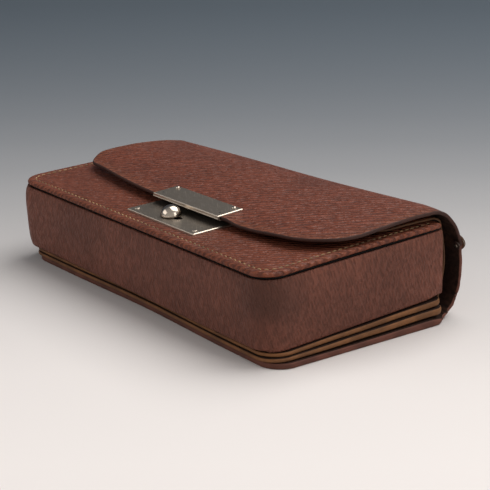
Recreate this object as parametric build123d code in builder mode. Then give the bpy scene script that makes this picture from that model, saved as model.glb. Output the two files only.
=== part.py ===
from build123d import *
from math import cos, radians, sin, tan
import os

# A boxy leather clutch that lies on its back. A stiff front compartment is open at the mouth,
# two flat pockets lie behind it, and one cover leather runs from the back panel round the mouth
# and over the front, where a hasp meets a slide lock.
# Frame: +X along the bag, +Y from its bottom to its mouth, +Z from the back panel to the flap.
# The origin is in the back panel's underside. All sizes are in millimetres.

# Compartment box
box_length = 173.0
box_width = 86.6
box_height = 30.6
box_corner = 10.0
box_front = -41.7
lie_angle = 2.7
wall_thickness = 1.8
wall_flare = 0.5
floor_thickness = 1.5
foot_round = 2.4
rim_overhang = 0.4
panel_thickness = 2.2
rim_round = 0.9
rim_underside_round = 0.4
rim_mouth_corner = 2.0
seam_gap = 0.5
welt_inset = 1.0
board_thickness = 1.2
lining_thickness = 0.8
slip_gap = 0.1

# Back panel and pocket leaves
cover_thickness = 1.4
back_thickness = 2.2
back_length = 173.0
back_front = -41.5
back_corner = 9.5
cover_shift = 2.0
leaf_gap = 0.1
leaf_mouth_corner = 4.0
lower_leaf_front = 1.35
lower_leaf_mouth = 2.3
lower_pocket_mouth = 1.5
upper_leaf_front = 1.4
upper_leaf_mouth = 2.4

# Cover: spine and flap
fold_gap = 0.3
fold_back_standoff = 1.2
fold_top_standoff = 4.4
fold_top_rise = 2.0
spine_bulge = 9.1
spine_crest_height = 17.4
flap_length = 167.5
flap_front = -22.3
flap_angle = 4.6
flap_straight_end = 36.0
shoulder_fall = 39.0
flap_curve_radius = 418.0
flap_left_corner = 10.0
flap_right_corner = 19.0

# Inner flap that closes the compartment
inner_thickness = 0.9
inner_length = 162.0
inner_standoff = 0.8
inner_bulge = 2.8
inner_front = 12.0
inner_lift = 0.3
inner_droop = 0.35
inner_shoulder = 2.6
inner_corner = 8.0

# Lock on the front panel
lock_x = 10.5
lock_setback = 7.8
lock_length = 45.5
lock_depth = 26.5
lock_thickness = 0.9
lock_bevel = 0.25
lock_plate_corner = 0.6
lock_rivet_inset = 3.0
rivet_radius = 0.75
rivet_clearance = 0.05
rivet_head_radius = 1.1
rivet_head_height = 0.3
burr_radius = 1.8
burr_thickness = 0.5
burr_seat = 0.05
head_round = 0.9
case_end_inset = 5.75
case_front_inset = 3.6
case_back_inset = 1.6
case_depth = 5.4
case_wall = 0.7
window_clearance = 0.1

# Sliding knob and bolt
knob_radius = 4.25
knob_setback = 7.3
knob_rest_x = -2.1
knob_travel = 5.0
knob_gap = 0.15
neck_radius = 1.4
neck_clearance = 0.2
stem_radius = 1.1
peen_radius = 1.7
peen_thickness = 0.6
bolt_thickness = 1.1
bolt_gap = 0.1
bolt_left = -6.9
bolt_right = 3.1
bolt_front = -2.6
bolt_back = 5.4
bolt_arm_width = 5.0
tongue_width = 1.4
tongue_margin = 0.8
spring_thickness = 0.3
spring_width = 2.4
spring_length = 20.0
spring_gap = 0.08

# Hasp on the flap
hasp_length = 44.0
hasp_depth = 12.0
hasp_thickness = 0.7
hasp_lip = 1.5
hasp_clearance = 1.6
hasp_bead = 0.25
backing_length = 42.0
backing_depth = 10.2
backing_thickness = 0.5
backing_setback = 1.0
staple_x = 6.0
staple_setback = 6.3
staple_thickness = 1.2
staple_width = 3.6
staple_reach = 3.2
eye_width = 2.2
eye_height = 1.9
slot_side_clearance = 0.4
slot_front_clearance = 0.9
slot_back_clearance = 2.8
hasp_rivet_inset = 3.0
hasp_rivet_back = 2.0
hasp_rivet_radius = 1.0
hasp_rivet_height = 0.75
hasp_pin_radius = 0.45
hasp_pin_front = 2.4

# Hand strap on the spine
strap_width = 6.6
strap_thickness = 1.2
strap_angle = 15.0
strap_end_inset = 0.4
stud_radius = 1.7
stud_height = 0.6
stud_inset = 2.9
stud_shank_radius = 0.9

# Where the tilted box lies
lie = radians(lie_angle)
stack_front = back_thickness + lower_leaf_front + upper_leaf_front + 2 * leaf_gap
box_plane = Plane(origin=(0, box_front, stack_front), x_dir=(1, 0, 0), z_dir=(0, -sin(lie), cos(lie)))
box_up = Axis(box_plane.origin, box_plane.z_dir)
box_along = Axis(box_plane.origin, box_plane.y_dir)
panel_base = box_height - panel_thickness
wall_height = panel_base - seam_gap
wall_mouth = box_width - rim_overhang


def from_box(y, z):
    """A point of the box's own frame as (Y, Z) of the bag's frame."""
    point = box_plane.from_local_coords((0, y, z))
    return point.Y, point.Z


def underside(y):
    """Height of the box's underside above the table."""
    return stack_front + (y - box_front) * tan(lie)


# Fold axes of the three bending leathers, as (Y, Z)
mouth_low = from_box(box_width, 0)
mouth_top = from_box(box_width, box_height)
fold_back = (mouth_low[0] + fold_back_standoff, back_thickness / 2)
fold_top = (mouth_top[0] + fold_top_standoff, mouth_top[1] + fold_top_rise)
fold_inner = (mouth_low[0] + inner_standoff, mouth_low[1] - upper_leaf_mouth / 2)
leaf_mouth = fold_inner[0] - inner_thickness / 2 - fold_gap

# The spine is two arcs that meet at its crest, upright there: a tight one below, a long one above
spine_crest = (fold_back[0] + spine_bulge, spine_crest_height)
spine_depth = spine_crest[0] - fold_top[0]
spine_rise = fold_top[1] - spine_crest[1]
spine_radius = (spine_depth ** 2 + spine_rise ** 2) / (2 * spine_depth)
spine_centre = (spine_crest[0] - spine_radius, spine_crest[1])

# The flap starts over the lock and rises to its shoulder
flap_slope = radians(flap_angle)
panel_over_front = from_box((flap_front - box_front) / cos(lie) + box_height * tan(lie), box_height)[1]
flap_lift = lock_thickness + hasp_clearance + backing_thickness + cover_thickness / 2
flap_start = (flap_front, panel_over_front + flap_lift)
flap_shoulder = (flap_straight_end, flap_start[1] + (flap_straight_end - flap_front) * tan(flap_slope))
end_reach = cover_thickness + fold_gap
fall = radians(shoulder_fall)
flap_end = (fold_top[0] - end_reach * cos(fall), fold_top[1] + end_reach * sin(fall))
flap_plane = Plane(
    origin=(
        lock_x,
        flap_start[0] - cover_thickness / 2 * sin(flap_slope),
        flap_start[1] + cover_thickness / 2 * cos(flap_slope),
    ),
    x_dir=(1, 0, 0),
    z_dir=(0, -sin(flap_slope), cos(flap_slope)),
)


def flare_out(height):
    """How far the walls stand out past their top edge at a height in the box."""
    return wall_flare * (1 - height / wall_height)


def case_outline(height, length, front, mouth, corner, mouth_round=0.0):
    """Plan of the box at a height: round corners at the front, nearly square ones at the mouth."""
    with BuildSketch(box_plane.offset(height)) as outline:
        with Locations((0, (front + mouth) / 2)):
            Rectangle(length, mouth - front)
        fillet(outline.vertices().group_by(Axis.Y)[0], corner)
        if mouth_round > 0:
            fillet(outline.vertices().group_by(Axis.Y)[-1], mouth_round)
    return outline.sketch


def flared_outline(height, length, front, mouth, corner):
    """Plan of the walls at a height, from their sizes at the top edge."""
    flare = flare_out(height)
    return case_outline(height, length + 2 * flare, front - flare, mouth, corner + flare)


def tray_solid(base, top, length, front, mouth, corner, foot):
    """Solid with flared sides, a rounded foot at the front and ends, and a square mouth."""
    with BuildPart() as solid:
        loft([flared_outline(height, length, front, mouth, corner) for height in (base, top)])
        foot_edges = solid.faces().sort_by(box_up)[0].edges().sort_by(box_along)[:-1]
        fillet(foot_edges, foot)
    return solid.part


def leather_leaf(profile_points, front, mouth, length, corner, mouth_corner=0.0):
    """Flat leather cut to the bag's plan, with its side profile given as (Y, Z) points."""
    with BuildPart() as leaf:
        with BuildSketch(Plane.YZ):
            with BuildLine():
                Polyline(*profile_points, close=True)
            make_face()
        extrude(amount=length, both=True)
        with BuildSketch(Plane.XY) as plan:
            with Locations((cover_shift, (front + mouth) / 2)):
                Rectangle(length, mouth - front)
            fillet(plan.vertices().group_by(Axis.Y)[0], corner)
            if mouth_corner > 0:
                fillet(plan.vertices().group_by(Axis.Y)[-1], mouth_corner)
        extrude(amount=2 * box_height, mode=Mode.INTERSECT)
    return leaf.part


def save(part, name):
    """Label a finished piece and write it to its own file."""
    part.label = name
    export_step(part, f"parts/{name}.step")


os.makedirs("parts", exist_ok=True)

# Back panel: the flat end of the cover leather, which carries everything else
back_end = fold_back[0] - cover_thickness / 2 - fold_gap
back_panel = leather_leaf(
    [(back_front, 0), (back_end, 0), (back_end, back_thickness), (back_front, back_thickness)],
    back_front, back_end, back_length, back_corner,
)
save(back_panel, "back_panel")

# Lower pocket leaf, sewn to the back panel at the front and opening a little at the mouth
lower_base = back_thickness + leaf_gap
lower_rise = back_thickness + lower_pocket_mouth
pocket_leaf_lower = leather_leaf(
    [
        (back_front, lower_base),
        (leaf_mouth, lower_rise),
        (leaf_mouth, lower_rise + lower_leaf_mouth),
        (back_front, lower_base + lower_leaf_front),
    ],
    back_front, leaf_mouth, back_length, back_corner, leaf_mouth_corner,
)
save(pocket_leaf_lower, "pocket_leaf_lower")

# Upper pocket leaf, glued to the compartment's underside
pocket_leaf_upper = leather_leaf(
    [
        (back_front, underside(back_front) - upper_leaf_front),
        (leaf_mouth, underside(leaf_mouth) - upper_leaf_mouth),
        (leaf_mouth, underside(leaf_mouth)),
        (back_front, underside(back_front)),
    ],
    back_front, leaf_mouth, back_length, back_corner, leaf_mouth_corner,
)
save(pocket_leaf_upper, "pocket_leaf_upper")

# Body shell: the wall leather turned under a board floor, open at the top and the mouth
wall_length = box_length - 2 * rim_overhang
wall_corner = box_corner - rim_overhang
hollow_length = wall_length - 2 * wall_thickness
hollow_front = rim_overhang + wall_thickness
hollow_corner = wall_corner - wall_thickness
past_mouth = box_width + wall_thickness
hollow = tray_solid(
    floor_thickness, box_height, hollow_length, hollow_front, past_mouth, hollow_corner,
    foot_round - wall_thickness,
)
with BuildPart() as body_shell:
    add(tray_solid(0, wall_height, wall_length, rim_overhang, wall_mouth, wall_corner, foot_round))
    add(hollow, mode=Mode.SUBTRACT)
save(body_shell.part, "body_shell")

# Lining: one folded sheet that covers the compartment's floor and walls
board_base = panel_base - board_thickness
lining_base = floor_thickness + slip_gap
lining_length = hollow_length - 2 * slip_gap
lining_front = hollow_front + slip_gap
lining_corner = hollow_corner - slip_gap
lining_top = board_base - slip_gap
with BuildPart() as compartment_lining:
    add(
        tray_solid(
            lining_base, lining_top, lining_length, lining_front, wall_mouth - slip_gap, lining_corner,
            foot_round - wall_thickness,
        )
    )
    add(
        tray_solid(
            lining_base + lining_thickness, box_height, lining_length - 2 * lining_thickness,
            lining_front + lining_thickness, past_mouth, lining_corner - lining_thickness,
            foot_round - wall_thickness - lining_thickness / 2,
        ),
        mode=Mode.SUBTRACT,
    )
save(compartment_lining.part, "compartment_lining")

# Seam welt: the sunk strip between the wall and the panel, seen as the black line
with BuildPart() as seam_welt:
    extrude(
        case_outline(
            wall_height, wall_length - 2 * welt_inset, rim_overhang + welt_inset,
            wall_mouth, wall_corner - welt_inset,
        ),
        amount=seam_gap,
    )
    extrude(
        case_outline(
            wall_height, hollow_length,
            hollow_front, past_mouth, hollow_corner,
        ),
        amount=seam_gap, mode=Mode.SUBTRACT,
    )
save(seam_welt.part, "seam_welt")

# Lock places in the panel's plane, measured from the lock's centre line
panel_plane = Plane(
    origin=box_plane.from_local_coords((lock_x, lock_setback, box_height)),
    x_dir=(1, 0, 0), z_dir=box_plane.z_dir,
)
rivet_x = lock_length / 2 - lock_rivet_inset
rivet_ys = (lock_rivet_inset, lock_depth - lock_rivet_inset)
rivet_places = [(x, y) for x in (-rivet_x, rivet_x) for y in rivet_ys]
case_front = case_front_inset
case_back = lock_depth - case_back_inset
case_middle = (case_front + case_back) / 2
staple_point = panel_plane.to_local_coords(flap_plane.from_local_coords((staple_x, staple_setback, 0)))
staple_y = staple_point.Y


def lock_sketch(plane, length, front, back, corner):
    """Rectangle in the lock's plane with small corner rounds."""
    with BuildSketch(plane) as outline:
        with Locations((0, (front + back) / 2)):
            RectangleRounded(length, back - front, corner)
    return outline.sketch


def lock_circles(plane, places, radius):
    """Circles at given places of the lock's plane."""
    with BuildSketch(plane) as circles:
        with Locations(*places):
            Circle(radius)
    return circles.sketch


case_length = lock_length - 2 * case_end_inset
window = lock_sketch(
    panel_plane, case_length + 2 * window_clearance, case_front - window_clearance,
    case_back + window_clearance, case_wall,
)
rivet_holes = lock_circles(panel_plane, rivet_places, rivet_radius + rivet_clearance)

# Front panel: turned leather with a rounded rim and a window for the lock's case
with BuildPart() as front_panel:
    extrude(
        case_outline(
            panel_base, box_length, 0, box_width, box_corner, rim_mouth_corner
        ),
        amount=panel_thickness,
    )
    fillet(front_panel.faces().sort_by(box_up)[-1].edges(), rim_round)
    fillet(front_panel.faces().sort_by(box_up)[0].edges(), rim_underside_round)
    extrude(window, amount=-box_height, mode=Mode.SUBTRACT)
    extrude(rivet_holes, amount=-box_height, mode=Mode.SUBTRACT)
save(front_panel.part, "front_panel")

# Panel board: the covered stiffener under the front panel
with BuildPart() as panel_board:
    extrude(
        flared_outline(
            board_base, lining_length, lining_front, wall_mouth - slip_gap, lining_corner
        ),
        amount=board_thickness,
    )
    extrude(window, amount=-box_height, mode=Mode.SUBTRACT)
    extrude(rivet_holes, amount=-box_height, mode=Mode.SUBTRACT)
save(panel_board.part, "panel_board")

# Lock plate: bevelled nickel plate with the knob's slot and the staple's slot
knob_slot_radius = neck_radius + neck_clearance
slot_front = staple_y - staple_width / 2 - slot_front_clearance
slot_back = staple_y + staple_width / 2 + slot_back_clearance
with BuildPart() as lock_plate:
    extrude(lock_sketch(panel_plane, lock_length, 0, lock_depth, lock_plate_corner), amount=lock_thickness)
    chamfer(lock_plate.faces().sort_by(box_up)[-1].edges(), lock_bevel)
    with BuildSketch(panel_plane):
        with Locations((knob_rest_x + knob_travel / 2, knob_setback)):
            SlotCenterToCenter(knob_travel, 2 * knob_slot_radius)
        with Locations((staple_x, (slot_front + slot_back) / 2)):
            Rectangle(staple_thickness + 2 * slot_side_clearance, slot_back - slot_front)
    extrude(amount=lock_thickness, mode=Mode.SUBTRACT)
    extrude(rivet_holes, amount=lock_thickness, mode=Mode.SUBTRACT)
save(lock_plate.part, "lock_plate")

# Lock case: the shallow pan that hangs in the window and holds the bolt
with BuildPart() as lock_case:
    extrude(lock_sketch(panel_plane, case_length, case_front, case_back, case_wall), amount=-case_depth)
    with BuildSketch(panel_plane):
        with Locations((0, case_middle)):
            Rectangle(case_length - 2 * case_wall, case_back - case_front - 2 * case_wall)
    extrude(amount=-(case_depth - case_wall), mode=Mode.SUBTRACT)
save(lock_case.part, "lock_case")

# Lock rivets: low heads on the plate, shanks through the panel and the board
plate_top_plane = panel_plane.offset(lock_thickness)
rivet_grip = lock_thickness + panel_thickness + board_thickness + burr_thickness
with BuildPart() as lock_rivets:
    extrude(lock_circles(plate_top_plane, rivet_places, rivet_head_radius), amount=rivet_head_height)
    fillet(lock_rivets.faces().group_by(box_up)[-1].edges(), rivet_head_height * head_round)
    extrude(lock_circles(plate_top_plane, rivet_places, rivet_radius), amount=-rivet_grip)
save(lock_rivets.part, "lock_rivets")

# Burrs: the rings under the board that the rivets are spread over
burr_plane = panel_plane.offset(-(panel_thickness + board_thickness))
with BuildPart() as lock_burrs:
    extrude(lock_circles(burr_plane, rivet_places, burr_radius), amount=-burr_thickness)
    extrude(
        lock_circles(burr_plane, rivet_places, rivet_radius + rivet_clearance),
        amount=-burr_thickness, mode=Mode.SUBTRACT,
    )
save(lock_burrs.part, "lock_burrs")

# Bolt: a bent plate with the knob at its front and a tongue that enters the staple
knob_y = knob_setback
bolt_top = -bolt_gap
bolt_edge_left = knob_rest_x + bolt_left
bolt_edge_right = knob_rest_x + bolt_right
tongue_end = staple_x - staple_thickness / 2 - tongue_margin
bolt_back_edge = staple_y + tongue_width / 2
with BuildPart() as bolt:
    with BuildSketch(panel_plane.offset(bolt_top)):
        with BuildLine():
            Polyline(
                (bolt_edge_left, knob_y + bolt_front),
                (bolt_edge_right, knob_y + bolt_front),
                (bolt_edge_right, knob_y + bolt_back),
                (bolt_edge_left + bolt_arm_width, knob_y + bolt_back),
                (bolt_edge_left + bolt_arm_width, staple_y - tongue_width / 2),
                (tongue_end, staple_y - tongue_width / 2),
                (tongue_end, bolt_back_edge),
                (bolt_edge_left, bolt_back_edge),
                close=True,
            )
        make_face()
        with Locations((knob_rest_x, knob_y)):
            Circle(stem_radius, mode=Mode.SUBTRACT)
    extrude(amount=-bolt_thickness)
save(bolt.part, "bolt")

# Knob: a dome on a neck through the plate, its stem peened under the bolt
knob_base = panel_plane.from_local_coords((knob_rest_x, knob_y, 0))
knob_plane = Plane(origin=knob_base, x_dir=(1, 0, 0), z_dir=-box_plane.y_dir)
dome_foot = lock_thickness + knob_gap
bolt_underside = bolt_top - bolt_thickness
with BuildPart() as knob:
    with BuildSketch(knob_plane):
        with BuildLine():
            dome = CenterArc((0, dome_foot), knob_radius, 90, -90)
            Polyline(
                dome @ 1,
                (neck_radius, dome_foot),
                (neck_radius, bolt_top),
                (stem_radius, bolt_top),
                (stem_radius, bolt_underside),
                (peen_radius, bolt_underside),
                (peen_radius, bolt_underside - peen_thickness),
                (0, bolt_underside - peen_thickness),
                dome @ 0,
            )
        make_face()
    revolve(axis=Axis(knob_base, box_plane.z_dir))
save(knob.part, "knob")

# Bolt spring: a bowed strip that presses up on the bolt so that the knob stays where it is put
spring_floor = -(case_depth - case_wall)
spring_top = bolt_underside - spring_gap
spring_y = knob_y + peen_radius + (bolt_back - peen_radius) / 2
spring_plane = Plane(
    origin=panel_plane.from_local_coords((knob_rest_x, spring_y, 0)), x_dir=(1, 0, 0),
    z_dir=-box_plane.y_dir,
)
with BuildPart() as bolt_spring:
    with BuildSketch(spring_plane):
        with BuildLine():
            bow_top = ThreePointArc(
                (-spring_length / 2, spring_floor + spring_thickness), (0, spring_top),
                (spring_length / 2, spring_floor + spring_thickness),
            )
            Line(bow_top @ 1, (spring_length / 2, spring_floor))
            bow_under = ThreePointArc(
                (spring_length / 2, spring_floor), (0, spring_top - spring_thickness),
                (-spring_length / 2, spring_floor),
            )
            Line(bow_under @ 1, bow_top @ 0)
        make_face()
    extrude(amount=spring_width / 2, both=True)
save(bolt_spring.part, "bolt_spring")

# Spine: the arched leather from the back fold to the top fold, round at both folds
with BuildPart() as cover_spine:
    with BuildSketch(Plane.YZ):
        with BuildLine():
            TangentArc(spine_crest, fold_back, tangent=(0, -1))
            TangentArc(spine_crest, fold_top, tangent=(0, 1))
        trace(line_width=cover_thickness)
        with Locations(fold_back, fold_top):
            Circle(cover_thickness / 2)
    extrude(amount=back_length, both=True)
    with BuildSketch(Plane.XZ):
        with BuildLine():
            Polyline(
                (cover_shift - back_length / 2, 0),
                (cover_shift + back_length / 2, 0),
                (cover_shift + flap_length / 2, 2 * fold_top[1] - fold_back[1]),
                (cover_shift - flap_length / 2, 2 * fold_top[1] - fold_back[1]),
                close=True,
            )
        make_face()
    extrude(amount=2 * box_width, both=True, mode=Mode.INTERSECT)

# Hand strap: flat leather along the spine's outer side, held by a stud at each end
strap_turn = radians(strap_angle)
strap_face = spine_radius + cover_thickness / 2
stud_origin = (
    cover_shift,
    spine_centre[0] + strap_face * cos(strap_turn),
    spine_centre[1] + strap_face * sin(strap_turn),
)
stud_plane = Plane(origin=stud_origin, x_dir=(1, 0, 0), z_dir=(0, cos(strap_turn), sin(strap_turn)))
spine_half = back_length / 2 - (back_length - flap_length) / 2 * stud_origin[2] / (2 * fold_top[1])
strap_length = 2 * (spine_half - strap_end_inset)
stud_places = [(side * (spine_half - stud_inset), 0) for side in (-1, 1)]
stud_holes = lock_circles(stud_plane, stud_places, stud_shank_radius + rivet_clearance)
strap_middle = strap_face + strap_thickness / 2
strap_span = strap_width / 2 / strap_middle


def on_spine(radius, angle):
    """A point at a given distance and angle from the spine's centre line, as (Y, Z)."""
    return spine_centre[0] + radius * cos(angle), spine_centre[1] + radius * sin(angle)


with BuildPart() as hand_strap:
    with BuildSketch(Plane.YZ):
        with BuildLine():
            ThreePointArc(
                on_spine(strap_middle, strap_turn - strap_span),
                on_spine(strap_middle, strap_turn),
                on_spine(strap_middle, strap_turn + strap_span),
            )
        trace(line_width=strap_thickness)
    extrude(amount=strap_length, both=True)
    with BuildSketch(stud_plane):
        SlotOverall(strap_length, strap_width)
    extrude(amount=2 * strap_width, both=True, mode=Mode.INTERSECT)
    extrude(stud_holes, amount=2 * strap_width, mode=Mode.SUBTRACT)
save(hand_strap.part, "hand_strap")

with BuildPart() as pierced_spine:
    add(cover_spine.part)
    extrude(stud_holes, amount=2 * cover_thickness, both=True, mode=Mode.SUBTRACT)
save(pierced_spine.part, "cover_spine")

# Strap studs: domed heads on the strap, shanks through the spine
stud_seat = stud_plane.offset(strap_thickness)
stud_grip = strap_thickness + cover_thickness + burr_seat + burr_thickness
with BuildPart() as strap_studs:
    extrude(lock_circles(stud_seat, stud_places, stud_radius), amount=stud_height)
    head_tops = strap_studs.faces().group_by(Axis(stud_origin, stud_plane.z_dir))[-1]
    fillet(head_tops.edges(), stud_height * head_round)
    extrude(lock_circles(stud_seat, stud_places, stud_shank_radius), amount=-stud_grip)
save(strap_studs.part, "strap_studs")

stud_back = stud_plane.offset(-(cover_thickness + burr_seat))
with BuildPart() as strap_burrs:
    extrude(lock_circles(stud_back, stud_places, burr_radius), amount=-burr_thickness)
    extrude(
        lock_circles(stud_back, stud_places, stud_shank_radius + rivet_clearance),
        amount=-burr_thickness, mode=Mode.SUBTRACT,
    )
save(strap_burrs.part, "strap_burrs")

# Inner flap: thin leather that stands across the mouth and folds over the front panel
inner_top = mouth_top[1] + inner_lift + inner_thickness / 2
inner_tip = (inner_front, inner_top + inner_droop)
inner_turn = (fold_inner[0] - inner_shoulder, inner_top)
inner_corner_low = (fold_inner[0], inner_top - inner_shoulder)
inner_crest = (fold_inner[0] + inner_bulge, (inner_corner_low[1] + fold_inner[1]) / 2)
with BuildPart() as inner_flap:
    with BuildSketch(Plane.YZ):
        with BuildLine():
            leaf_line = Line(inner_tip, inner_turn)
            TangentArc(inner_turn, inner_corner_low, tangent=leaf_line % 1)
            ThreePointArc(inner_corner_low, inner_crest, fold_inner)
        trace(line_width=inner_thickness)
        with Locations(fold_inner):
            Circle(inner_thickness / 2)
    extrude(amount=inner_length, both=True)
    with BuildSketch(Plane.XY):
        with Locations((cover_shift, (inner_front + spine_crest[0]) / 2)):
            inner_plan = Rectangle(inner_length, spine_crest[0] - inner_front)
        fillet(inner_plan.vertices().group_by(Axis.Y)[0], inner_corner)
    extrude(amount=2 * box_height, mode=Mode.INTERSECT)
save(inner_flap.part, "inner_flap")

# Hasp pieces lie in the flap's own plane, measured from the middle of its front edge
hasp_rivet_x = hasp_length / 2 - hasp_rivet_inset
hasp_back = hasp_depth - hasp_thickness
hasp_rivet_places = [(side * hasp_rivet_x, hasp_back - hasp_rivet_back) for side in (-1, 1)]
hasp_pin_places = [(side * hasp_rivet_x, hasp_pin_front) for side in (-1, 1)]
hasp_top_plane = flap_plane.offset(hasp_thickness)
hasp_up = Axis(flap_plane.origin, flap_plane.z_dir)
hasp_rivet_holes = lock_circles(hasp_top_plane, hasp_rivet_places, rivet_radius + rivet_clearance)
hasp_pin_holes = lock_circles(hasp_top_plane, hasp_pin_places, hasp_pin_radius)
hasp_grip = hasp_thickness + cover_thickness + backing_thickness

# Flap: straight over the panel, then over its shoulder to the top fold
with BuildPart() as flap:
    with BuildSketch(Plane.YZ):
        with BuildLine():
            flap_line = Line(flap_start, flap_shoulder)
            TangentArc(flap_shoulder, flap_end, tangent=flap_line % 1)
        trace(line_width=cover_thickness)
        with Locations(flap_end):
            Circle(cover_thickness / 2)
    extrude(amount=flap_length, both=True)
    with BuildSketch(Plane.XY) as flap_plan:
        with Locations((cover_shift, (flap_front + fold_top[0]) / 2)):
            Rectangle(flap_length, fold_top[0] - flap_front)
        with Locations((lock_x, flap_front + flap_curve_radius)):
            Circle(flap_curve_radius, mode=Mode.INTERSECT)
        fillet(flap_plan.vertices().group_by(Axis.X)[0].sort_by(Axis.Y)[0], flap_left_corner)
        fillet(flap_plan.vertices().group_by(Axis.X)[-1].sort_by(Axis.Y)[0], flap_right_corner)
    extrude(amount=2 * box_height, mode=Mode.INTERSECT)
    extrude(hasp_rivet_holes, amount=-3 * cover_thickness, mode=Mode.SUBTRACT)
    extrude(hasp_pin_holes, amount=-3 * cover_thickness, mode=Mode.SUBTRACT)
save(flap.part, "flap")

# Hasp plate: folded over the flap's front edge, with a bead along the lip
hasp_side = Plane(origin=flap_plane.origin, x_dir=flap_plane.y_dir, z_dir=(1, 0, 0))
with BuildPart() as hasp_plate:
    with BuildSketch(hasp_side):
        with BuildLine():
            Polyline(
                (-hasp_thickness, hasp_thickness),
                (hasp_back, hasp_thickness),
                (hasp_back, 0),
                (0, 0),
                (0, hasp_thickness - hasp_lip),
                (-hasp_thickness, hasp_thickness - hasp_lip),
                close=True,
            )
        make_face()
    extrude(amount=hasp_length / 2, both=True)
    chamfer(hasp_plate.faces().sort_by(hasp_up)[-1].edges(), lock_bevel)
    with BuildSketch(hasp_side):
        with Locations((-hasp_thickness, hasp_thickness - hasp_lip + hasp_bead)):
            Circle(hasp_bead)
    extrude(amount=hasp_length / 2, both=True)
    extrude(hasp_rivet_holes, amount=-hasp_grip, mode=Mode.SUBTRACT)
    extrude(hasp_pin_holes, amount=-hasp_grip, mode=Mode.SUBTRACT)
save(hasp_plate.part, "hasp_plate")

# Staple: the upright with an eye, which drops through the lock plate's slot
staple_top = lock_thickness + hasp_clearance + backing_thickness
staple_plane = Plane(
    origin=panel_plane.from_local_coords((staple_x, staple_y, 0)), x_dir=box_plane.y_dir,
    z_dir=(1, 0, 0),
)
eye_middle = bolt_top - bolt_thickness / 2
with BuildPart() as hasp_staple:
    with BuildSketch(staple_plane) as staple_face:
        with BuildLine():
            Polyline(
                (-staple_width / 2, staple_top),
                (-staple_width / 2, -staple_reach),
                (staple_width / 2, -staple_reach),
                (staple_width / 2, staple_top),
                close=True,
            )
        make_face()
        fillet(staple_face.vertices().group_by(Axis.Y)[0], staple_width / 4)
        with Locations((0, eye_middle)):
            Rectangle(eye_width, eye_height, mode=Mode.SUBTRACT)
    extrude(amount=staple_thickness / 2, both=True)
save(hasp_staple.part, "hasp_staple")

# Backing plate: under the flap's leather, holding the staple
backing_plane = flap_plane.offset(-cover_thickness)
with BuildPart() as hasp_backing:
    extrude(
        lock_sketch(
            backing_plane, backing_length, backing_setback, backing_setback + backing_depth,
            lock_plate_corner,
        ),
        amount=-backing_thickness,
    )
    extrude(hasp_rivet_holes, amount=-hasp_grip, mode=Mode.SUBTRACT)
    extrude(hasp_pin_holes, amount=-hasp_grip, mode=Mode.SUBTRACT)
    add(hasp_staple.part, mode=Mode.SUBTRACT)
save(hasp_backing.part, "hasp_backing")

# Hasp rivets and pins
with BuildPart() as hasp_rivets:
    extrude(lock_circles(hasp_top_plane, hasp_rivet_places, hasp_rivet_radius), amount=hasp_rivet_height)
    fillet(hasp_rivets.faces().group_by(hasp_up)[-1].edges(), hasp_rivet_height * head_round)
    extrude(lock_circles(hasp_top_plane, hasp_rivet_places, rivet_radius), amount=-hasp_grip)
save(hasp_rivets.part, "hasp_rivets")

with BuildPart() as hasp_pins:
    extrude(lock_circles(hasp_top_plane, hasp_pin_places, hasp_pin_radius), amount=-hasp_grip)
save(hasp_pins.part, "hasp_pins")
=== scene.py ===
"""The looks of a boxy leather clutch that lies on its back, laid out as a Blender add-on.

Every new piece is a surface worked out on a grid with numpy, in millimetres in the bag's own frame,
and put into its mesh in metres. +X runs along the bag, +Y from its sewn bottom to its mouth, +Z up.
"""
import math

import bmesh
import bpy
import numpy as np
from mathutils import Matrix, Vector


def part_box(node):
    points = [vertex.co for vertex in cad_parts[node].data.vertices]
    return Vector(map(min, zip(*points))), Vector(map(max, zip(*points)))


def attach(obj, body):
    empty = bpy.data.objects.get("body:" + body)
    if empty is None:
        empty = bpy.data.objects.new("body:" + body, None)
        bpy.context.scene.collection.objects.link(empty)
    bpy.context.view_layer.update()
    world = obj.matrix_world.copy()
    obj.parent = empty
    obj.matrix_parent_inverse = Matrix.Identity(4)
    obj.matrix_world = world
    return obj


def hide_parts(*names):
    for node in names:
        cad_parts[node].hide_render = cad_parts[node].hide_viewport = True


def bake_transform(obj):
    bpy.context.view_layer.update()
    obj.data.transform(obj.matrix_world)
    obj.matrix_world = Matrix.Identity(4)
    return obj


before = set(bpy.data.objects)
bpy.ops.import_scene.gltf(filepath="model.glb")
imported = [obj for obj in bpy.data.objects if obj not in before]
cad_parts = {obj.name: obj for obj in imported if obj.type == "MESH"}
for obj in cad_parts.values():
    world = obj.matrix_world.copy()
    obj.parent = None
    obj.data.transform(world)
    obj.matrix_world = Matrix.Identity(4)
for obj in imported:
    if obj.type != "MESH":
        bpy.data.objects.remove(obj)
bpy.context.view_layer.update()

bl_info = {
    "name": "Leather Clutch",
    "version": (1, 0, 0),
    "blender": (4, 5, 0),
    "location": "3D View > Sidebar > Clutch",
    "description": "Builds the leather, thread, metal and studio of a boxy clutch",
    "category": "Add Mesh",
}

MM = 0.001

# Where the tilted compartment lies, as in the part
LIE = math.radians(2.7)
BOX_FRONT = -41.7
STACK_FRONT = 5.15
BOX_LENGTH = 173.0
BOX_WIDTH = 86.6
PANEL_BASE = 28.4
PANEL_THICKNESS = 2.2
WALL_HEIGHT = 27.9
WALL_THICKNESS = 1.8
RIM_OVERHANG = 0.4
BOX_CORNER = 10.0
FOOT_ROUND = 1.5
LOCK_X = 10.5
LOCK_SETBACK = 7.8
LOCK_THICKNESS = 0.9
CASE_HALF = 17.0
CASE_FRONT = 3.6
CASE_BACK = 24.9

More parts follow.
